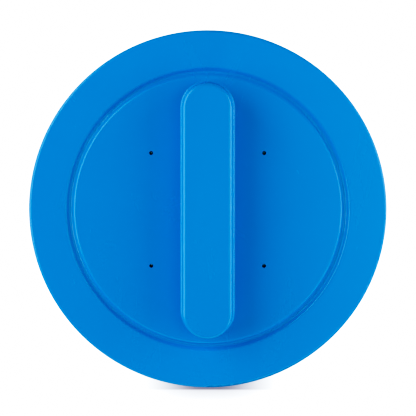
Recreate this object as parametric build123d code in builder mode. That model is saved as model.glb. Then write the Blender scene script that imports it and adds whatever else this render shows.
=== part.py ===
"""Hand-held sliding puck: a hollow moulded disc with a bar grip, a steel ballast plate inside and a glide ring below.

Millimetres, +Z up. The origin is the centre of the sole, on the floor that the glide ring stands on.
The bar grip runs along Y. Front is -Y and right is +X.
"""

from build123d import *
from math import radians, tan
import os

# ---- driving dimensions ----------------------------------------------------------------------------------------
PUCK_RADIUS = 75.4  # of the skirt at its foot, before the foot chamfer
FACE_HEIGHT = 25.4  # floor to the flat face: one inch
WALL = 2.8  # shell wall
SKIRT_DRAFT = 0.15  # how much the skirt narrows on its way up to the face
FACE_EDGE_RADIUS = 1.1
FOOT_CLEARANCE = 1.0  # floor to the lower edge of the skirt
FOOT_CHAMFER = 1.2
RIB_THICKNESS = 1.8
RIB_ANGLES = (0, 45, 135)  # each rib runs right across the shell
ROOT = 0.8  # how far ribs and ledges run into the wall that carries them

CHANNEL_RADIUS = 57.8  # middle of the ring channel
CHANNEL_WIDTH = 3.6  # between its lips, before they are rounded
CHANNEL_SLOPE = 44.0  # degrees, of both walls
CHANNEL_BOTTOM_RADIUS = 1.0
CHANNEL_BACKING = 1.6  # thickening of the ceiling under the channel
LIP_RADIUS = 1.1

GRIP_LENGTH = 107.2  # at its foot, over the round ends
GRIP_WIDTH = 21.6
GRIP_HEIGHT = 16.0
GRIP_DRAFT = 1.9  # degrees
GRIP_TOP_RADIUS = 1.5
GRIP_FOOT_RADIUS = 0.8
GRIP_RIB_PITCH = 30.0
GRIP_RIB_COUNT = 3

SCREW_SPACING = 47.5  # square pattern
SCREW_LENGTH = 16.0
SCREW_RADIUS = 1.1
SCREW_TIP_LENGTH = 2.0
SCREW_TIP_RADIUS = 0.3
HEAD_RADIUS = 1.9
HEAD_RIM = 0.2
CROSS_LENGTH = 2.2  # drive recess in the screw head
CROSS_WIDTH = 0.55
CROSS_DEPTH = 0.6
PILOT_RADIUS = 0.8
BOSS_RADIUS = 3.2

COVER_RADIUS = 72.4
COVER_THICKNESS = 3.2
COVER_EDGE_CHAMFER = 0.4
PILLAR_RADIUS = 3.7
PILLAR_HEIGHT = 2.8
CLEARANCE_HOLE_RADIUS = 1.25

PLUG_RADIUS = 2.6
PLUG_THICKNESS = 1.6
PLUG_CUP_RADIUS = 1.7
PLUG_CUP_DEPTH = 0.8
PLUG_CHAMFER = 0.2
PLUG_WELL_DEPTH = 2.3

PAD_THICKNESS = 1.8
BALLAST_RADIUS = 52.0
BALLAST_THICKNESS = 4.0
BALLAST_EDGE_CHAMFER = 0.4
BALLAST_HOLE_RADIUS = 4.1
HANGING_HOLE_RADIUS = 5.0  # the plate hangs by it while it is plated
LOCATING_GAP = 0.4  # ballast plate to the cover's locating ring
LOCATING_HEIGHT = 5.2

GASKET_HEIGHT = 1.2
GASKET_WIDTH = 1.6
GASKET_GAP = 0.1
LEDGE_HEIGHT = 2.0

GLIDE_INNER_RADIUS = 60.0
GLIDE_OUTER_RADIUS = 68.0
GLIDE_RECESS_DEPTH = 1.0
GLIDE_SIDE_GAP = 0.1
GLIDE_EDGE_RADIUS = 0.5
TAPE_THICKNESS = 0.2

# ---- heights and sizes that follow from them -------------------------------------------------------------------
CEILING = FACE_HEIGHT - WALL
GRIP_TOP = FACE_HEIGHT + GRIP_HEIGHT
COVER_TOP = FOOT_CLEARANCE + COVER_THICKNESS
PILLAR_TOP = COVER_TOP + PILLAR_HEIGHT
BALLAST_FLOOR = COVER_TOP + PAD_THICKNESS
BALLAST_TOP = BALLAST_FLOOR + BALLAST_THICKNESS
LEDGE_FLOOR = COVER_TOP + GASKET_HEIGHT
HEAD_FLOOR = FOOT_CLEARANCE + PLUG_WELL_DEPTH
TAPE_TOP = FOOT_CLEARANCE + GLIDE_RECESS_DEPTH
GLIDE_TOP = TAPE_TOP - TAPE_THICKNESS
SKIRT_INNER_RADIUS = PUCK_RADIUS - WALL
GASKET_OUTER_RADIUS = COVER_RADIUS - GASKET_GAP
GASKET_INNER_RADIUS = GASKET_OUTER_RADIUS - GASKET_WIDTH
HOLLOW_LENGTH = GRIP_LENGTH - 2 * WALL
HOLLOW_WIDTH = GRIP_WIDTH - 2 * WALL
HALF_SPACING = SCREW_SPACING / 2
CHANNEL_APEX = FACE_HEIGHT - CHANNEL_WIDTH / 2 * tan(radians(CHANNEL_SLOPE))  # where the walls would meet

SNAP = 0.01  # how close an edge must be to a height to count as being at it

os.makedirs("parts", exist_ok=True)


def save(part, name):
    """Labels a finished piece and writes its STEP file."""
    part.label = name
    export_step(part, f"parts/{name}.step")


def edges_at(part, height, reach):
    """The edges of a part that lie flat at a height and stay within a radius of the puck's axis."""
    flat = part.edges().filter_by_position(Axis.Z, height - SNAP, height + SNAP)
    return [edge for edge in flat if edge.bounding_box().max.Y < reach and edge.bounding_box().size.Z < SNAP]


# ---- cover screws: countersunk tapping screws, driven upwards through the sole ---------------------------------
with BuildPart() as single_screw:
    with BuildSketch(Plane.XZ):
        with BuildLine():
            Polyline(
                (0, HEAD_FLOOR),
                (HEAD_RADIUS, HEAD_FLOOR),
                (HEAD_RADIUS, HEAD_FLOOR + HEAD_RIM),
                (SCREW_RADIUS, HEAD_FLOOR + HEAD_RIM + HEAD_RADIUS - SCREW_RADIUS),
                (SCREW_RADIUS, HEAD_FLOOR + SCREW_LENGTH - SCREW_TIP_LENGTH),
                (SCREW_TIP_RADIUS, HEAD_FLOOR + SCREW_LENGTH),
                (0, HEAD_FLOOR + SCREW_LENGTH),
                close=True,
            )
        make_face()
    revolve(axis=Axis.Z)

with BuildPart() as four_screw_blanks:
    with GridLocations(SCREW_SPACING, SCREW_SPACING, 2, 2):
        add(single_screw.part)

with BuildPart() as cover_screws:
    add(four_screw_blanks.part)
    with BuildSketch(Plane.XY.offset(HEAD_FLOOR)):
        with GridLocations(SCREW_SPACING, SCREW_SPACING, 2, 2):
            Rectangle(CROSS_LENGTH, CROSS_WIDTH)
            Rectangle(CROSS_WIDTH, CROSS_LENGTH)
    extrude(amount=CROSS_DEPTH, mode=Mode.SUBTRACT)
save(cover_screws.part, "cover_screws")


# ---- top shell: rim, ring channel, centre panel, hollow bar grip, skirt, ribs and screw bosses ------------------
with BuildPart() as top_shell:
    # solid disc and grip, with every outer edge rounded
    with BuildSketch(Plane.XZ):
        with BuildLine():
            Polyline(
                (0, FOOT_CLEARANCE),
                (PUCK_RADIUS, FOOT_CLEARANCE),
                (PUCK_RADIUS - SKIRT_DRAFT, FACE_HEIGHT),
                (0, FACE_HEIGHT),
                close=True,
            )
        make_face()
    revolve(axis=Axis.Z)
    with BuildSketch(Plane.XY.offset(FACE_HEIGHT)):
        SlotOverall(GRIP_LENGTH, GRIP_WIDTH, rotation=90)
    extrude(amount=GRIP_HEIGHT, taper=GRIP_DRAFT)
    fillet(edges_at(top_shell.part, GRIP_TOP, GRIP_LENGTH), GRIP_TOP_RADIUS)
    fillet(edges_at(top_shell.part, FACE_HEIGHT, GRIP_LENGTH / 2 + SNAP), GRIP_FOOT_RADIUS)
    fillet(edges_at(top_shell.part, FACE_HEIGHT, PUCK_RADIUS)[-1:], FACE_EDGE_RADIUS)

    # ring channel: two sloping walls, round at the bottom and at both lips
    lips = (CHANNEL_RADIUS - CHANNEL_WIDTH / 2, CHANNEL_RADIUS + CHANNEL_WIDTH / 2)
    with BuildSketch(Plane.XZ):
        with BuildLine():
            FilletPolyline(
                (lips[0], FACE_HEIGHT),
                (CHANNEL_RADIUS, CHANNEL_APEX),
                (lips[1], FACE_HEIGHT),
                radius=CHANNEL_BOTTOM_RADIUS,
            )
            Line((lips[1], FACE_HEIGHT), (lips[0], FACE_HEIGHT))
        make_face()
    revolve(axis=Axis.Z, mode=Mode.SUBTRACT)
    circles = top_shell.part.edges().filter_by(GeomType.CIRCLE)
    fillet([edge for edge in circles if any(abs(edge.radius - lip) < SNAP for lip in lips)], LIP_RADIUS)
    chamfer(edges_at(top_shell.part, FOOT_CLEARANCE, PUCK_RADIUS + SNAP), FOOT_CHAMFER)

    # hollow under the ceiling, drafted like the outside, with thicker backing left under the channel
    with BuildSketch(Plane.XZ):
        with BuildLine():
            Polyline(
                (0, FOOT_CLEARANCE),
                (SKIRT_INNER_RADIUS, FOOT_CLEARANCE),
                (SKIRT_INNER_RADIUS - SKIRT_DRAFT, CEILING),
                (0, CEILING),
                close=True,
            )
        make_face()
    revolve(axis=Axis.Z, mode=Mode.SUBTRACT)
    with BuildSketch(Plane.XY.offset(CEILING - CHANNEL_BACKING)):
        Circle(CHANNEL_RADIUS + CHANNEL_WIDTH)
        Circle(CHANNEL_RADIUS - CHANNEL_WIDTH, mode=Mode.SUBTRACT)
    extrude(amount=CHANNEL_BACKING)

    # ledge that presses on the gasket
    with BuildSketch(Plane.XY.offset(LEDGE_FLOOR)):
        Circle(SKIRT_INNER_RADIUS + ROOT)
        Circle(GASKET_INNER_RADIUS, mode=Mode.SUBTRACT)
    extrude(amount=LEDGE_HEIGHT)

    # ribs and grip walls that hold the ballast plate down
    with BuildSketch(Plane.XY.offset(BALLAST_TOP)):
        SlotOverall(GRIP_LENGTH, GRIP_WIDTH, rotation=90)
        for angle in RIB_ANGLES:
            Rectangle(2 * (SKIRT_INNER_RADIUS + ROOT), RIB_THICKNESS, rotation=angle)
    extrude(amount=CEILING - BALLAST_TOP)

    # bosses that stand on the cover's pillars
    with BuildSketch(Plane.XY.offset(PILLAR_TOP)):
        with GridLocations(SCREW_SPACING, SCREW_SPACING, 2, 2):
            Circle(BOSS_RADIUS)
    extrude(amount=CEILING - PILLAR_TOP)

    # hollow of the grip, open down to the ballast plate, and its cross ribs
    with BuildSketch(Plane.XY.offset(BALLAST_TOP)):
        SlotOverall(HOLLOW_LENGTH, HOLLOW_WIDTH, rotation=90)
    extrude(amount=CEILING - BALLAST_TOP, mode=Mode.SUBTRACT)
    with BuildSketch(Plane.XY.offset(CEILING)):
        SlotOverall(HOLLOW_LENGTH, HOLLOW_WIDTH, rotation=90)
    extrude(amount=GRIP_TOP - WALL - CEILING, taper=GRIP_DRAFT, mode=Mode.SUBTRACT)
    with BuildSketch(Plane.XY.offset(CEILING)):
        with GridLocations(0, GRIP_RIB_PITCH, 1, GRIP_RIB_COUNT):
            Rectangle(HOLLOW_WIDTH + ROOT, RIB_THICKNESS)
    extrude(amount=GRIP_TOP - WALL - CEILING + ROOT)

    # pilot holes right through to the face, and the threads' seats that the screws form in them
    with Locations((0, 0, FACE_HEIGHT)):
        with GridLocations(SCREW_SPACING, SCREW_SPACING, 2, 2):
            Hole(PILOT_RADIUS)
    add(four_screw_blanks.part, mode=Mode.SUBTRACT)
save(top_shell.part, "top_shell")


# ---- base cover: the sole, with pillars, locating ring, glide recess and screw wells ----------------------------
with BuildPart() as base_cover:
    with BuildSketch(Plane.XY.offset(FOOT_CLEARANCE)):
        Circle(COVER_RADIUS)
    extrude(amount=COVER_THICKNESS)
    chamfer(edges_at(base_cover.part, FOOT_CLEARANCE, COVER_RADIUS + SNAP), COVER_EDGE_CHAMFER)

    # pillars under the shell's bosses, and the ring that keeps the ballast plate centred
    with BuildSketch(Plane.XY.offset(COVER_TOP)):
        with GridLocations(SCREW_SPACING, SCREW_SPACING, 2, 2):
            Circle(PILLAR_RADIUS)
    extrude(amount=PILLAR_HEIGHT)
    with BuildSketch(Plane.XY.offset(COVER_TOP)):
        Circle(BALLAST_RADIUS + LOCATING_GAP + RIB_THICKNESS)
        Circle(BALLAST_RADIUS + LOCATING_GAP, mode=Mode.SUBTRACT)
    extrude(amount=LOCATING_HEIGHT)

    # recess for the glide ring
    with BuildSketch(Plane.XY.offset(FOOT_CLEARANCE)):
        Circle(GLIDE_OUTER_RADIUS)
        Circle(GLIDE_INNER_RADIUS, mode=Mode.SUBTRACT)
    extrude(amount=GLIDE_RECESS_DEPTH, mode=Mode.SUBTRACT)

    # wells for the plugs, countersinks and clearance holes for the screws
    with BuildSketch(Plane.XY.offset(FOOT_CLEARANCE)):
        with GridLocations(SCREW_SPACING, SCREW_SPACING, 2, 2):
            Circle(PLUG_RADIUS)
    extrude(amount=PLUG_WELL_DEPTH, mode=Mode.SUBTRACT)
    with BuildSketch(Plane.XY.offset(FOOT_CLEARANCE)):
        with GridLocations(SCREW_SPACING, SCREW_SPACING, 2, 2):
            Circle(CLEARANCE_HOLE_RADIUS)
    extrude(amount=COVER_THICKNESS + PILLAR_HEIGHT, mode=Mode.SUBTRACT)
    add(four_screw_blanks.part, mode=Mode.SUBTRACT)
save(base_cover.part, "base_cover")


# ---- screw plugs: push-in discs with a hollow back, flush with the sole -----------------------------------------
PLUG_PLACES = {
    "screw_plug_front_left": (-HALF_SPACING, -HALF_SPACING),
    "screw_plug_front_right": (HALF_SPACING, -HALF_SPACING),
    "screw_plug_rear_left": (-HALF_SPACING, HALF_SPACING),
    "screw_plug_rear_right": (HALF_SPACING, HALF_SPACING),
}

for plug_name, plug_place in PLUG_PLACES.items():
    with BuildPart() as screw_plug:
        with BuildSketch(Plane.XY.offset(FOOT_CLEARANCE)):
            with Locations(plug_place):
                Circle(PLUG_RADIUS)
        extrude(amount=PLUG_THICKNESS)
        chamfer(screw_plug.edges().group_by(Axis.Z)[0], PLUG_CHAMFER)
        with BuildSketch(Plane.XY.offset(FOOT_CLEARANCE + PLUG_THICKNESS - PLUG_CUP_DEPTH)):
            with Locations(plug_place):
                Circle(PLUG_CUP_RADIUS)
        extrude(amount=PLUG_CUP_DEPTH, mode=Mode.SUBTRACT)
    save(screw_plug.part, plug_name)


# ---- ballast plate and its foam pad ------------------------------------------------------------------------------
with BuildPart() as ballast_plate:
    with BuildSketch(Plane.XY.offset(BALLAST_FLOOR)):
        Circle(BALLAST_RADIUS)
    extrude(amount=BALLAST_THICKNESS)
    chamfer(ballast_plate.edges().filter_by(GeomType.CIRCLE), BALLAST_EDGE_CHAMFER)
    with Locations((0, 0, BALLAST_TOP)):
        Hole(HANGING_HOLE_RADIUS)
        with GridLocations(SCREW_SPACING, SCREW_SPACING, 2, 2):
            Hole(BALLAST_HOLE_RADIUS)
save(ballast_plate.part, "ballast_plate")

with BuildPart() as ballast_pad:
    with BuildSketch(Plane.XY.offset(COVER_TOP)):
        Circle(BALLAST_RADIUS)
        with GridLocations(SCREW_SPACING, SCREW_SPACING, 2, 2):
            Circle(BALLAST_HOLE_RADIUS, mode=Mode.SUBTRACT)
    extrude(amount=PAD_THICKNESS)
save(ballast_pad.part, "ballast_pad")


# ---- rim gasket: soft ring between the cover and the shell's ledge -----------------------------------------------
with BuildPart() as rim_gasket:
    with BuildSketch(Plane.XY.offset(COVER_TOP)):
        Circle(GASKET_OUTER_RADIUS)
        Circle(GASKET_INNER_RADIUS, mode=Mode.SUBTRACT)
    extrude(amount=GASKET_HEIGHT)
save(rim_gasket.part, "rim_gasket")


# ---- glide ring and the adhesive ring that holds it --------------------------------------------------------------
with BuildPart() as glide_ring:
    with BuildSketch():
        Circle(GLIDE_OUTER_RADIUS - GLIDE_SIDE_GAP)
        Circle(GLIDE_INNER_RADIUS + GLIDE_SIDE_GAP, mode=Mode.SUBTRACT)
    extrude(amount=GLIDE_TOP)
    fillet(glide_ring.edges().group_by(Axis.Z)[0], GLIDE_EDGE_RADIUS)
save(glide_ring.part, "glide_ring")

with BuildPart() as glide_ring_tape:
    with BuildSketch(Plane.XY.offset(GLIDE_TOP)):
        Circle(GLIDE_OUTER_RADIUS - GLIDE_SIDE_GAP)
        Circle(GLIDE_INNER_RADIUS + GLIDE_SIDE_GAP, mode=Mode.SUBTRACT)
    extrude(amount=TAPE_THICKNESS)
save(glide_ring_tape.part, "glide_ring_tape")
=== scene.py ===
"""Looks of the hand-held sliding puck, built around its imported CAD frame.

Metres, in the CAD's own frame: +Z up, the centre of the sole on the floor at the origin, the bar grip
along Y. The CAD shells, plate, plugs, tape and glide ring stay and get their materials here. The threaded
screws, the foam pad and the squeezed rubber gasket are mesh pieces of their own.
"""

import math

import bmesh
import bpy
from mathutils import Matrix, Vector


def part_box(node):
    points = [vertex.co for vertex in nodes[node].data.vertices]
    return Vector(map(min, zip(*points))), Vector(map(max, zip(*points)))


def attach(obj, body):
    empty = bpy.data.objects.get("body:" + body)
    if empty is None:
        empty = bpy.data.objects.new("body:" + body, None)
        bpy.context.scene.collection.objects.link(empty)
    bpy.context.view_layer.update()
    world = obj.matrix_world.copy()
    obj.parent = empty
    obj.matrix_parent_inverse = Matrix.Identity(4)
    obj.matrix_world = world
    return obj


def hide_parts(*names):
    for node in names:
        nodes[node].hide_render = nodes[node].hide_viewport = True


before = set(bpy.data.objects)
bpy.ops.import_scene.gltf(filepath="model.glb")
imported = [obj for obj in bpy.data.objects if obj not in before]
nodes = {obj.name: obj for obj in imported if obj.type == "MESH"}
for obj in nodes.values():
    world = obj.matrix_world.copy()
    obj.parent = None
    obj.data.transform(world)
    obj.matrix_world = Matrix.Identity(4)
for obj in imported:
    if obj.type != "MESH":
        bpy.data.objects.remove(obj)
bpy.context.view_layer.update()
MM = 0.001

FACE_HEIGHT = 25.4 * MM  # the shell's flat face above the floor

# ---- camera --------------------------------------------------------------------------------------
CAMERA_DISTANCE = 1.0  # from the middle of the flat face, nearly straight above it
CAMERA_LENS = 205.85  # millimetres, on the sensor below
CAMERA_SENSOR = 36.0
LEAN_RIGHT = math.radians(0.5)  # how far the view comes from +X
LEAN_BACK = math.radians(3.0)  # and from +Y
SHIFT_RIGHT = 0.0008
SHIFT_UP = 0.0038

# ---- cover screws: ST2.2 countersunk tapping screws ----------------------------------------------
SCREW_HEAD_RADIUS = 1.9 * MM
SCREW_HEAD_RIM = 0.2 * MM
THREAD_RADIUS = 1.1 * MM
THREAD_CORE = 0.82 * MM
THREAD_PITCH = 0.8 * MM
THREAD_BASE = 0.55  # share of the pitch that the thread takes up where it meets the core
THREAD_CREST = 0.12  # share of its height that the crest cuts off flat
THREAD_STEPS = 8  # rings to one pitch
THREAD_SIDES = 28
NECK_SLIMMING = 0.97  # the shank's radius under the head, as a share of the thread's
TIP_LENGTH = 2.0 * MM
TIP_RADIUS = 0.3 * MM
TIP_SMOOTH = 0.15  # share of the tip, at the point, that carries no thread
TIP_SLIMMING = 0.98  # radius of that smooth end, as a share of the tip's cone
CROSS_HALF_LENGTH = 1.1 * MM
CROSS_HALF_WIDTH = 0.275 * MM
CROSS_DEPTH = 0.6 * MM
CROSS_TAPER = 0.72  # the recess's floor to its mouth

# ---- foam pad and gasket -------------------------------------------------------------------------
PAD_HOLE_RADIUS = 4.1 * MM
PAD_BULGE = 0.35 * MM  # how far its cut edges swell between the plates that squeeze it
PAD_BULGE_POWER = 0.6  # under 1 makes the swelling blunt
PAD_WAVINESS = 0.06 * MM  # of its cut rim
PAD_LEVELS = 6
PAD_OUTER_SIDES = 160
PAD_HOLE_SIDES = 32
GASKET_WIDTH = 1.6 * MM
GASKET_SQUARENESS = 3.2  # exponent of its section: 2 is round
GASKET_SIDES = 240
GASKET_SECTION_SIDES = 20


# ---- node helpers --------------------------------------------------------------------------------
class Shader:
    """A new material with one Principled shader, and short calls for the nodes that feed it."""

    def __init__(self, name):
        self.material = bpy.data.materials.new(name)
        self.material.use_nodes = True
        self.tree = self.material.node_tree
        self.principled = self.tree.nodes["Principled BSDF"]
        self.coordinates = self.tree.nodes.new("ShaderNodeTexCoord").outputs["Object"]

    def set(self, **values):
        """Sets the shader's own sockets. An underscore in a name stands for a space."""
        for name, value in values.items():
            self.principled.inputs[name.replace("_", " ")].default_value = value

    def link(self, output, name):
        self.tree.links.new(output, self.principled.inputs[name])

    def node(self, kind, inputs=None, **settings):
        """A node with its settings, and its inputs given as values or as other nodes' outputs."""
        made = self.tree.nodes.new("ShaderNode" + kind)
        for name, value in settings.items():
            setattr(made, name, value)
        for name, value in (inputs or {}).items():
            if isinstance(value, bpy.types.NodeSocket):
                self.tree.links.new(value, made.inputs[name])
            else:
                made.inputs[name].default_value = value
        return made

    def stretched(self, scale):
        """The object's coordinates, scaled along each axis."""
        return self.node("Mapping", {"Vector": self.coordinates, "Scale": scale}).outputs["Vector"]

    def from_axis(self):
        """Distance from the puck's axis."""
        flat = self.stretched((1, 1, 0))
        return self.node("VectorMath", {"Vector": flat}, operation="LENGTH").outputs["Value"]

    def noise(self, scale, detail=2.0, roughness=0.5, vector=None, distortion=0.0):
        """Noise from 0 to 1 whose blobs are about 1 / scale metres across."""
        inputs = {
            "Vector": vector or self.coordinates,
            "Scale": scale,
            "Detail": detail,
            "Roughness": roughness,
            "Distortion": distortion,
        }
        return self.node("TexNoise", inputs).outputs["Fac"]

    def rings(self, scale, detail=3.0):
        """Noise that changes only with the distance from the puck's axis."""
        inputs = {"W": self.from_axis(), "Scale": scale, "Detail": detail, "Roughness": 0.6}
        return self.node("TexNoise", inputs, noise_dimensions="1D").outputs["Fac"]

    def cells(self, scale):
        """Distance to the middle of the nearest cell, from 0 at its middle."""
        inputs = {"Vector": self.coordinates, "Scale": scale}
        return self.node("TexVoronoi", inputs).outputs["Distance"]

    def spread(self, value, from_low, from_high, to_low, to_high):
        """value, moved from one range to another and held inside it."""
        inputs = {
            "Value": value,
            "From Min": from_low,
            "From Max": from_high,
            "To Min": to_low,
            "To Max": to_high,
        }
        return self.node("MapRange", inputs).outputs["Result"]

    def mix(self, factor, first, second):
        """A colour between two others."""
        made = self.node("Mix", data_type="RGBA")
        sockets = (made.inputs[0], made.inputs[6], made.inputs[7])  # the factor and the two colours
        for socket, value in zip(sockets, (factor, first, second)):
            if isinstance(value, bpy.types.NodeSocket):
                self.tree.links.new(value, socket)
            else:
                socket.default_value = value
        return made.outputs[2]

    def bump(self, height, distance, strength=1.0, onto=None):
        """Relief of a real depth in metres, on top of other relief."""
        made = self.node("Bump", {"Height": height, "Distance": distance, "Strength": strength})
        if onto is not None:
            self.tree.links.new(onto, made.inputs["Normal"])
        return made.outputs["Normal"]


# ---- materials -----------------------------------------------------------------------------------
def moulded_plastic(name, light, dark, grain_size, roughness):
    """Satin injection-moulded plastic: faint flow clouds, spark-eroded grain and soft rubbed patches."""
    shader = Shader(name)
    clouds = shader.spread(shader.noise(38, 3, 0.55), 0.3, 0.7, 0, 1)
    shader.link(shader.mix(clouds, light, dark), "Base Color")

    rub_vector = shader.stretched((1, 0.45, 1))
    rubs = shader.spread(shader.noise(55, 5, 0.62, rub_vector, 0.6), 0.5, 0.72, 0, 1)
    shader.link(shader.spread(rubs, 0, 1, roughness, roughness + 0.05), "Roughness")

    waves = shader.bump(shader.noise(70, 1), 0.005 * MM)
    grain = shader.noise(1 / grain_size, 2, 0.6)
    shader.link(shader.bump(grain, 0.004 * MM, 1.0, waves), "Normal")
    shader.set(IOR=1.49)
    return shader.material


def ballast_steel():
    """Laser-cut plate, brushed along X and zinc plated: long fine scratches and a faint milky mottle."""
    shader = Shader("ballast_steel")
    mottle = shader.spread(shader.noise(60, 4, 0.6), 0.35, 0.65, 0, 1)
    shader.link(shader.mix(mottle, (0.6, 0.61, 0.64, 1), (0.5, 0.51, 0.53, 1)), "Base Color")
    brushing = shader.noise(900, 4, 0.7, shader.stretched((0.03, 1, 1)))
    shader.link(shader.spread(brushing, 0.3, 0.7, 0.3, 0.46), "Roughness")
    shader.link(shader.bump(brushing, 0.01 * MM), "Normal")
    shader.set(Metallic=1.0)
    return shader.material


def screw_steel():
    """Zinc-plated screw wire: bright, with slightly dulled patches."""
    shader = Shader("screw_steel")
    dull = shader.spread(shader.noise(900, 3, 0.6), 0.4, 0.7, 0, 1)
    shader.link(shader.mix(dull, (0.74, 0.75, 0.78, 1), (0.6, 0.6, 0.62, 1)), "Base Color")
    shader.link(shader.spread(dull, 0, 1, 0.24, 0.42), "Roughness")
    shader.link(shader.bump(shader.noise(4000, 2), 0.003 * MM), "Normal")
    shader.set(Metallic=1.0)
    return shader.material


def glide_plastic():
    """White low-friction plastic: turning rings, long scratches from sliding, and greyer worn patches."""
    shader = Shader("glide_plastic")
    wear = shader.spread(shader.noise(90, 4, 0.6), 0.4, 0.7, 0, 1)
    shader.link(shader.mix(wear, (0.86, 0.86, 0.84, 1), (0.74, 0.735, 0.71, 1)), "Base Color")
    turning = shader.rings(2600)
    scratches = shader.noise(700, 4, 0.7, shader.stretched((1, 0.08, 1)))
    shader.link(shader.spread(wear, 0, 1, 0.38, 0.55), "Roughness")
    shader.link(shader.bump(scratches, 0.008 * MM, 1.0, shader.bump(turning, 0.012 * MM)), "Normal")
    shader.set(IOR=1.52)
    shader.set(Subsurface_Weight=0.15, Subsurface_Radius=(1.2, 1.1, 1.0), Subsurface_Scale=1 * MM)
    return shader.material


def tape_film():
    """Double-sided tape: straw-coloured film with small bubbles in the glue."""
    shader = Shader("tape")
    bubbles = shader.spread(shader.cells(700), 0.15, 0.35, 1, 0)
    shader.link(shader.mix(bubbles, (0.72, 0.68, 0.55, 1), (0.82, 0.8, 0.7, 1)), "Base Color")
    shader.link(shader.spread(shader.noise(200, 3), 0.3, 0.7, 0.45, 0.7), "Roughness")
    shader.link(shader.bump(bubbles, 0.02 * MM), "Normal")
    return shader.material


def pad_foam():
    """Closed-cell foam: small round cells, cut open, in dark grey rubber, with painted shade in each cut
    cell's hollow.
    """
    shader = Shader("pad_foam")
    cells = shader.cells(2200)
    cell_relief_and_shade = shader.spread(cells, 0.2, 0.6, 0, 1)
    # The colour is darker in the middle of each cell, where the relief is hollow: painted shade, not the
    # rubber's own tone.
    shader.link(shader.mix(cell_relief_and_shade, (0.012, 0.012, 0.014, 1), (0.05, 0.05, 0.056, 1)), "Base Color")
    shader.link(shader.bump(cell_relief_and_shade, 0.12 * MM), "Normal")
    shader.set(Roughness=0.92, Specular_IOR_Level=0.3)
    return shader.material


def gasket_rubber():
    """Moulded black rubber with a light dusting of talc."""
    shader = Shader("gasket_rubber")
    talc = shader.spread(shader.noise(420, 4, 0.65), 0.52, 0.75, 0, 1)
    shader.link(shader.mix(talc, (0.016, 0.016, 0.018, 1), (0.06, 0.06, 0.06, 1)), "Base Color")
    shader.link(shader.spread(talc, 0, 1, 0.48, 0.75), "Roughness")
    shader.link(shader.bump(shader.noise(3500, 2), 0.01 * MM), "Normal")
    return shader.material


# ---- pieces --------------------------------------------------------------------------------------
def paint(node, material):
    """Gives a carried-over CAD node its material."""
    piece = nodes[node]
    piece.data.materials.clear()
    piece.data.materials.append(material)


def new_piece(name, shape, material, cad_node, smooth_below=None):
    """Turns a finished bmesh into a piece that rides on the puck's body in place of a CAD node."""
    bmesh.ops.recalc_face_normals(shape, faces=shape.faces)
    mesh = bpy.data.meshes.new(name)
    shape.to_mesh(mesh)
    shape.free()
    mesh.materials.append(material)
    piece = bpy.data.objects.new(name, mesh)
    bpy.context.scene.collection.objects.link(piece)
    mesh.shade_smooth()
    if smooth_below is not None:
        mesh.set_sharp_from_angle(angle=smooth_below)
    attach(piece, "root")
    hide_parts(cad_node)
    return piece


def ring_of(shape, centre, radius_at, height, sides):
    """Vertices round a point, at radius_at(angle)."""
    made = []
    for side in range(sides):
        angle = 2 * math.pi * side / sides
        radius = radius_at(angle)
        place = (centre[0] + radius * math.cos(angle), centre[1] + radius * math.sin(angle), height)
        made.append(shape.verts.new(place))
    return made


def join_rings(shape, lower, upper):
    """Quads between two rings of the same number of vertices."""
    count = len(lower)
    for here in range(count):
        there = (here + 1) % count
        shape.faces.new((lower[here], lower[there], upper[there], upper[here]))


def loop_edges(shape, ring):
    """The edges round a ring, made where they are missing."""
    made = []
    for here, vertex in enumerate(ring):
        after = ring[(here + 1) % len(ring)]
        made.append(shape.edges.get((vertex, after)) or shape.edges.new((vertex, after)))
    return made


def fill_between(shape, rings):
    """A flat cap between an outer ring and the rings of its holes."""
    edges = [edge for ring in rings for edge in loop_edges(shape, ring)]
    bmesh.ops.triangle_fill(shape, use_beauty=True, use_dissolve=False, edges=edges)


def thread_radius(turn, height, top):
    """Radius of the thread's surface, tapering to the point over the tip."""
    phase = (height / THREAD_PITCH - turn) % 1.0
    flank = abs(phase - 0.5) * 2
    rise = max(0.0, 1 - flank / THREAD_BASE)
    crest = min(1.0, rise / (1 - THREAD_CREST))
    radius = THREAD_CORE + (THREAD_RADIUS - THREAD_CORE) * crest
    to_top = top - height
    if to_top < TIP_LENGTH:
        share = to_top / TIP_LENGTH
        cone = TIP_RADIUS + (THREAD_RADIUS - TIP_RADIUS) * share
        radius = min(radius, cone) if share > TIP_SMOOTH else cone * TIP_SLIMMING
    return radius


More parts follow.
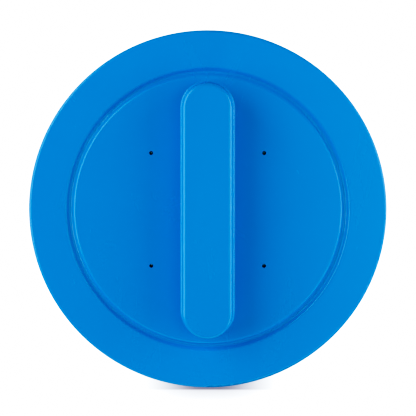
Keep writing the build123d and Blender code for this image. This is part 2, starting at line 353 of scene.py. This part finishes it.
def build_screw(shape, centre, foot, top):
    """One screw, head down: cross recess, flat head, countersunk neck, thread and point."""
    cross = []
    for quarter in range(4):
        turn = math.pi / 2 * quarter
        along = Vector((math.cos(turn), math.sin(turn)))
        across = Vector((-along.y, along.x))
        cross.append(along * CROSS_HALF_LENGTH - across * CROSS_HALF_WIDTH)
        cross.append(along * CROSS_HALF_LENGTH + across * CROSS_HALF_WIDTH)
        cross.append(along * CROSS_HALF_WIDTH + across * CROSS_HALF_WIDTH)

    def cross_ring(scale, height):
        corners = [corner * scale for corner in cross]
        return [shape.verts.new((centre[0] + c.x, centre[1] + c.y, height)) for c in corners]

    def head_radius(angle):
        return SCREW_HEAD_RADIUS

    def neck_radius(angle):
        return THREAD_RADIUS * NECK_SLIMMING

    rim = ring_of(shape, centre, head_radius, foot, THREAD_SIDES)
    mouth = cross_ring(1.0, foot)
    fill_between(shape, (rim, mouth))
    floor_ring = cross_ring(CROSS_TAPER, foot + CROSS_DEPTH)
    join_rings(shape, mouth, floor_ring)
    fill_between(shape, (floor_ring,))

    neck = foot + SCREW_HEAD_RIM + SCREW_HEAD_RADIUS - THREAD_RADIUS
    shoulder = ring_of(shape, centre, head_radius, foot + SCREW_HEAD_RIM, THREAD_SIDES)
    join_rings(shape, rim, shoulder)
    last = ring_of(shape, centre, neck_radius, neck, THREAD_SIDES)
    join_rings(shape, shoulder, last)
    step = THREAD_PITCH / THREAD_STEPS
    count = int((top - neck) / step)
    for level in range(1, count + 1):
        height = neck + (top - neck) * level / count

        def radius_at(angle, height=height):
            return thread_radius(angle / (2 * math.pi), height, top)

        ring = ring_of(shape, centre, radius_at, height, THREAD_SIDES)
        join_rings(shape, last, ring)
        last = ring
    shape.faces.new(last)


def build_cover_screws(material):
    low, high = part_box("cover_screws")
    reach = high[0] - SCREW_HEAD_RADIUS
    shape = bmesh.new()
    for across in (-reach, reach):
        for along in (-reach, reach):
            build_screw(shape, (across, along), low[2], high[2])
    new_piece("threaded_cover_screws", shape, material, "cover_screws", math.radians(40))


def build_foam_pad(material):
    """The pad's cut edges swell between the plates, round its rim and inside its four holes."""
    low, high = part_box("ballast_pad")
    screw_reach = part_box("cover_screws")[1][0] - SCREW_HEAD_RADIUS
    radius = high[0]
    thickness = high[2] - low[2]
    shape = bmesh.new()
    last = None
    bottom = None
    for level in range(PAD_LEVELS + 1):
        share = level / PAD_LEVELS
        back = PAD_BULGE * (1 - math.sin(math.pi * share) ** PAD_BULGE_POWER)
        height = low[2] + thickness * share

        def rim_radius(angle, back=back):
            return radius - back - PAD_WAVINESS * (1 + math.sin(7 * angle) * math.sin(3 * angle + 1))

        def hole_radius(angle, back=back):
            return PAD_HOLE_RADIUS + back

        rings = [ring_of(shape, (0, 0), rim_radius, height, PAD_OUTER_SIDES)]
        for across in (-screw_reach, screw_reach):
            for along in (-screw_reach, screw_reach):
                rings.append(ring_of(shape, (across, along), hole_radius, height, PAD_HOLE_SIDES))
        if last:
            for lower, upper in zip(last, rings):
                join_rings(shape, lower, upper)
        else:
            bottom = rings
        last = rings
    fill_between(shape, bottom)
    fill_between(shape, last)
    pad = new_piece("foam_pad", shape, material, "ballast_pad", math.radians(50))


def build_gasket(material):
    """A ring whose round section is squeezed nearly square between the cover and the shell's ledge."""
    low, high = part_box("rim_gasket")
    middle_radius = high[0] - GASKET_WIDTH / 2
    middle_height = (low[2] + high[2]) / 2
    half_height = (high[2] - low[2]) / 2
    power = 2 / GASKET_SQUARENESS
    shape = bmesh.new()
    rings = []
    for section in range(GASKET_SECTION_SIDES):
        angle = 2 * math.pi * section / GASKET_SECTION_SIDES
        out = math.copysign(abs(math.cos(angle)) ** power, math.cos(angle)) * GASKET_WIDTH / 2
        up = math.copysign(abs(math.sin(angle)) ** power, math.sin(angle)) * half_height

        def radius_at(turn, out=out):
            return middle_radius + out

        rings.append(ring_of(shape, (0, 0), radius_at, middle_height + up, GASKET_SIDES))
    for here, ring in enumerate(rings):
        join_rings(shape, ring, rings[(here + 1) % len(rings)])
    new_piece("rubber_rim_gasket", shape, material, "rim_gasket", math.radians(60))


SHELL_BLUES = ((0.0, 0.2, 0.56, 1), (0.0, 0.195, 0.55, 1))
COVER_BLUES = ((0.0, 0.19, 0.45, 1), (0.0, 0.18, 0.43, 1))
PLUG_BLUES = ((0.001, 0.12, 0.3, 1), (0.001, 0.11, 0.28, 1))

blue_shell = moulded_plastic("blue_shell", *SHELL_BLUES, grain_size=0.35 * MM, roughness=0.25)
blue_cover = moulded_plastic("blue_cover", *COVER_BLUES, grain_size=0.5 * MM, roughness=0.5)
plug_plastic = moulded_plastic("plug_plastic", *PLUG_BLUES, grain_size=0.25 * MM, roughness=0.45)
paint("top_shell", blue_shell)
paint("base_cover", blue_cover)
for plug in ("front_left", "front_right", "rear_left", "rear_right"):
    paint(f"screw_plug_{plug}", plug_plastic)
paint("ballast_plate", ballast_steel())
paint("glide_ring", glide_plastic())
paint("glide_ring_tape", tape_film())
build_cover_screws(screw_steel())
build_foam_pad(pad_foam())
build_gasket(gasket_rubber())

# ---- floor, lights and camera --------------------------------------------------------------------
FLOOR_RADIUS = 9.0
FLOOR_GAP = 0.02 * MM  # keeps the floor from sharing the glide ring's plane
FLOOR_SUN_STRENGTH = 4.3
SCRIM_HEIGHT = 0.4 * MM
SCRIM_SIDES = (-45 * MM, 47 * MM, -92 * MM, -70 * MM)  # its X range, then its Y range
SCRIM_MIDDLE = 1 * MM
SCRIM_DARK_HALF_WIDTH = 3 * MM  # full shade up to here each side of its middle,
SCRIM_CLEAR_HALF_WIDTH = 38 * MM  # none from here on
SCRIM_CORE = (-79.7 * MM, -79.1 * MM, 0.45)  # the sharp edge of the shade: clear at, full at, its share
SCRIM_FRINGE = (-87 * MM, -79.3 * MM, 0.55)  # and the soft one
SCRIM_DARKEST = (0.09, 0.02, 0.03, 1)
AMBIENT = 0.25  # radiance of the world, as the puck and the floor see it
BACKGROUND = 1.3  # and as the camera sees it beyond the floor

WALL_DISTANCE = 0.5  # the left and right softboxes stand this far from the puck's axis
FRONT_DISTANCE = 0.6
OVERHEAD_HEIGHT = 1.1
BEHIND = 0.006  # each softbox stands this much further out than the one before it, as two overlap

# Softboxes in the planes above: name, side, range along the plane, range of height (overhead: of Y) and
# radiance.
SOFTBOXES = (
    ("left_key", "left", (-0.2, 0.6), (0.0, 1.0), 2.7),
    ("right_main", "right", (-0.4, 0.4), (0.0, 0.6), 1.7),
    ("right_low", "right", (-0.1, 0.2), (0.0, 0.2), 3.5),
    ("front_fill", "front", (-0.5, 0.5), (0.0, 0.5), 1.2),
    ("overhead", "overhead", (0.2, 0.5), (-0.2, 0.2), 2.5),
)

# The camera's response: what it records of a light rises as light**c / (light**c + half**c), where c is
# the contrast and half is the light that would record as half of the most it could.
WHITE_LIGHT = 1.15  # recorded as white
HALF_LIGHT = 0.49
CONTRAST = 1.7
CURVE_STEPS = 12
RED_DELAY = 0.04  # the red record starts this much later, beside so strong a blue


def build_floor():
    mesh = bpy.data.meshes.new("floor")
    shape = bmesh.new()
    bmesh.ops.create_circle(shape, cap_ends=True, radius=FLOOR_RADIUS, segments=96)
    shape.to_mesh(mesh)
    shape.free()
    floor = bpy.data.objects.new("floor", mesh)
    floor.location.z = -FLOOR_GAP
    bpy.context.scene.collection.objects.link(floor)
    shader = Shader("floor_white")
    shader.set(Base_Color=(0.9, 0.9, 0.9, 1), Roughness=0.9, Specular_IOR_Level=0.0)
    mesh.materials.append(shader.material)
    floor.visible_diffuse = False  # so white a floor would wash out the skirt
    floor.visible_glossy = False
    return floor


def linking_to(name, floor, state):
    """A light-linking collection that holds the floor, to light it alone or to leave it out."""
    linked = bpy.data.collections.new(name)
    linked.objects.link(floor)
    linked.collection_objects[0].light_linking.link_state = state
    return linked


def softbox(name, side, along, up, radiance, further, receivers):
    """A rectangular softbox, a little further out than one of the planes round the puck."""
    middle = sum(along) / 2
    level = sum(up) / 2
    centre, facing = {
        "left": ((-WALL_DISTANCE - further, middle, level), (1, 0, 0)),
        "right": ((WALL_DISTANCE + further, middle, level), (-1, 0, 0)),
        "front": ((middle, -FRONT_DISTANCE - further, level), (0, 1, 0)),
        "overhead": ((middle, level, OVERHEAD_HEIGHT + further), (0, 0, -1)),
    }[side]
    light = bpy.data.lights.new(name, "AREA")
    light.shape = "RECTANGLE"
    light.size = along[1] - along[0]
    light.size_y = up[1] - up[0]
    light.energy = radiance * math.pi * light.size * light.size_y
    lamp = bpy.data.objects.new(name, light)
    lamp.location = centre
    lamp.rotation_euler = Vector(facing).to_track_quat("-Z", "Y").to_euler()
    lamp.visible_camera = False
    bpy.context.scene.collection.objects.link(lamp)
    lamp.light_linking.receiver_collection = receivers


def build_floor_sun(receivers):
    """Light from straight above, for the floor alone, so that the floor is white right up to the puck."""
    light = bpy.data.lights.new("floor_sun", "SUN")
    light.energy = FLOOR_SUN_STRENGTH
    light.angle = math.radians(1)
    lamp = bpy.data.objects.new("floor_sun", light)
    bpy.context.scene.collection.objects.link(lamp)
    lamp.light_linking.receiver_collection = receivers


def build_scrim():
    """A graded scrim close over the floor at the puck's front edge, for the contact shadow there."""
    left, right, near, far = SCRIM_SIDES
    mesh = bpy.data.meshes.new("floor_scrim")
    shape = bmesh.new()
    corners = ((left, near), (right, near), (right, far), (left, far))
    shape.faces.new([shape.verts.new((x, y, SCRIM_HEIGHT)) for x, y in corners])
    shape.to_mesh(mesh)
    shape.free()
    scrim = bpy.data.objects.new("floor_scrim", mesh)
    bpy.context.scene.collection.objects.link(scrim)
    scrim.visible_camera = False
    scrim.visible_diffuse = False
    scrim.visible_glossy = False

    shader = Shader("scrim")
    place = shader.node("SeparateXYZ", {"Vector": shader.coordinates})
    sideways = shader.node("Math", {0: place.outputs["X"], 1: SCRIM_MIDDLE}, operation="SUBTRACT")
    sideways = shader.node("Math", {0: sideways.outputs["Value"]}, operation="ABSOLUTE").outputs["Value"]
    ends = {
        "Value": sideways,
        "From Min": SCRIM_DARK_HALF_WIDTH,
        "From Max": SCRIM_CLEAR_HALF_WIDTH,
        "To Min": 1,
        "To Max": 0,
    }
    across = shader.node("MapRange", ends, interpolation_type="SMOOTHSTEP").outputs["Result"]
    core = shader.spread(place.outputs["Y"], SCRIM_CORE[0], SCRIM_CORE[1], 0, SCRIM_CORE[2])
    fringe = shader.spread(place.outputs["Y"], SCRIM_FRINGE[0], SCRIM_FRINGE[1], 0, SCRIM_FRINGE[2])
    depth = shader.node("Math", {0: core, 1: fringe}, operation="ADD").outputs["Value"]
    shade = shader.node("Math", {0: across, 1: depth}, operation="MULTIPLY").outputs["Value"]
    film = shader.node("BsdfTransparent", {"Color": shader.mix(shade, (1, 1, 1, 1), SCRIM_DARKEST)})
    output = shader.tree.nodes["Material Output"]
    shader.tree.links.new(film.outputs["BSDF"], output.inputs["Surface"])
    mesh.materials.append(shader.material)


def build_world():
    """Dim for the light that reaches the puck and the floor, and white for the camera's own rays."""
    world = bpy.data.worlds.new("studio")
    bpy.context.scene.world = world
    world.use_nodes = True
    tree = world.node_tree
    background = tree.nodes["Background"]
    background.inputs["Color"].default_value = (1, 1, 1, 1)
    to_camera = tree.nodes.new("ShaderNodeLightPath").outputs["Is Camera Ray"]
    strength = tree.nodes.new("ShaderNodeMapRange")
    strength.inputs["To Min"].default_value = AMBIENT
    strength.inputs["To Max"].default_value = BACKGROUND
    tree.links.new(to_camera, strength.inputs["Value"])
    tree.links.new(strength.outputs["Result"], background.inputs["Strength"])


def fill_curve(curve, points):
    """Gives a colour curve its points. It starts with two of its own."""
    for extra in range(len(points) - 2):
        curve.points.new(0.5, 0.5)
    for point, place in zip(curve.points, points):
        point.location = place
        point.handle_type = "AUTO_CLAMPED"


def response(light):
    """What the camera records of a light, from 0 to 1."""
    raised = light**CONTRAST
    full = WHITE_LIGHT**CONTRAST
    half = HALF_LIGHT**CONTRAST
    return raised / (raised + half) * (full + half) / full


def build_response():
    view = bpy.context.scene.view_settings
    view.view_transform = "Standard"
    view.use_curve_mapping = True
    mapping = view.curve_mapping
    mapping.clip_max_x = WHITE_LIGHT
    mapping.extend = "HORIZONTAL"
    lights = [WHITE_LIGHT * (step / CURVE_STEPS) ** 1.5 for step in range(CURVE_STEPS + 1)]
    curve = [(light, response(light)) for light in lights]
    red_curve = [curve[0], *((light + RED_DELAY, record) for light, record in curve[:-1]), curve[-1]]
    fill_curve(mapping.curves[0], red_curve)
    fill_curve(mapping.curves[1], curve)
    fill_curve(mapping.curves[2], curve)
    mapping.update()


def build_camera():
    camera = bpy.data.cameras.new("camera")
    camera.lens = CAMERA_LENS
    camera.sensor_width = CAMERA_SENSOR
    camera.shift_x = SHIFT_RIGHT
    camera.shift_y = SHIFT_UP
    camera.clip_end = 20
    holder = bpy.data.objects.new("camera", camera)
    back = Vector((math.tan(LEAN_RIGHT), math.tan(LEAN_BACK), 1)).normalized()
    holder.location = Vector((0, 0, FACE_HEIGHT)) + back * CAMERA_DISTANCE
    holder.rotation_euler = (-LEAN_BACK, LEAN_RIGHT, 0)
    bpy.context.scene.collection.objects.link(holder)
    bpy.context.scene.camera = holder


floor = build_floor()
floor_alone = linking_to("floor_alone", floor, "INCLUDE")
all_but_floor = linking_to("all_but_floor", floor, "EXCLUDE")
build_floor_sun(floor_alone)
build_scrim()
for place, box_of_light in enumerate(SOFTBOXES):
    softbox(*box_of_light, BEHIND * place, all_but_floor)
build_world()
build_camera()
build_response()
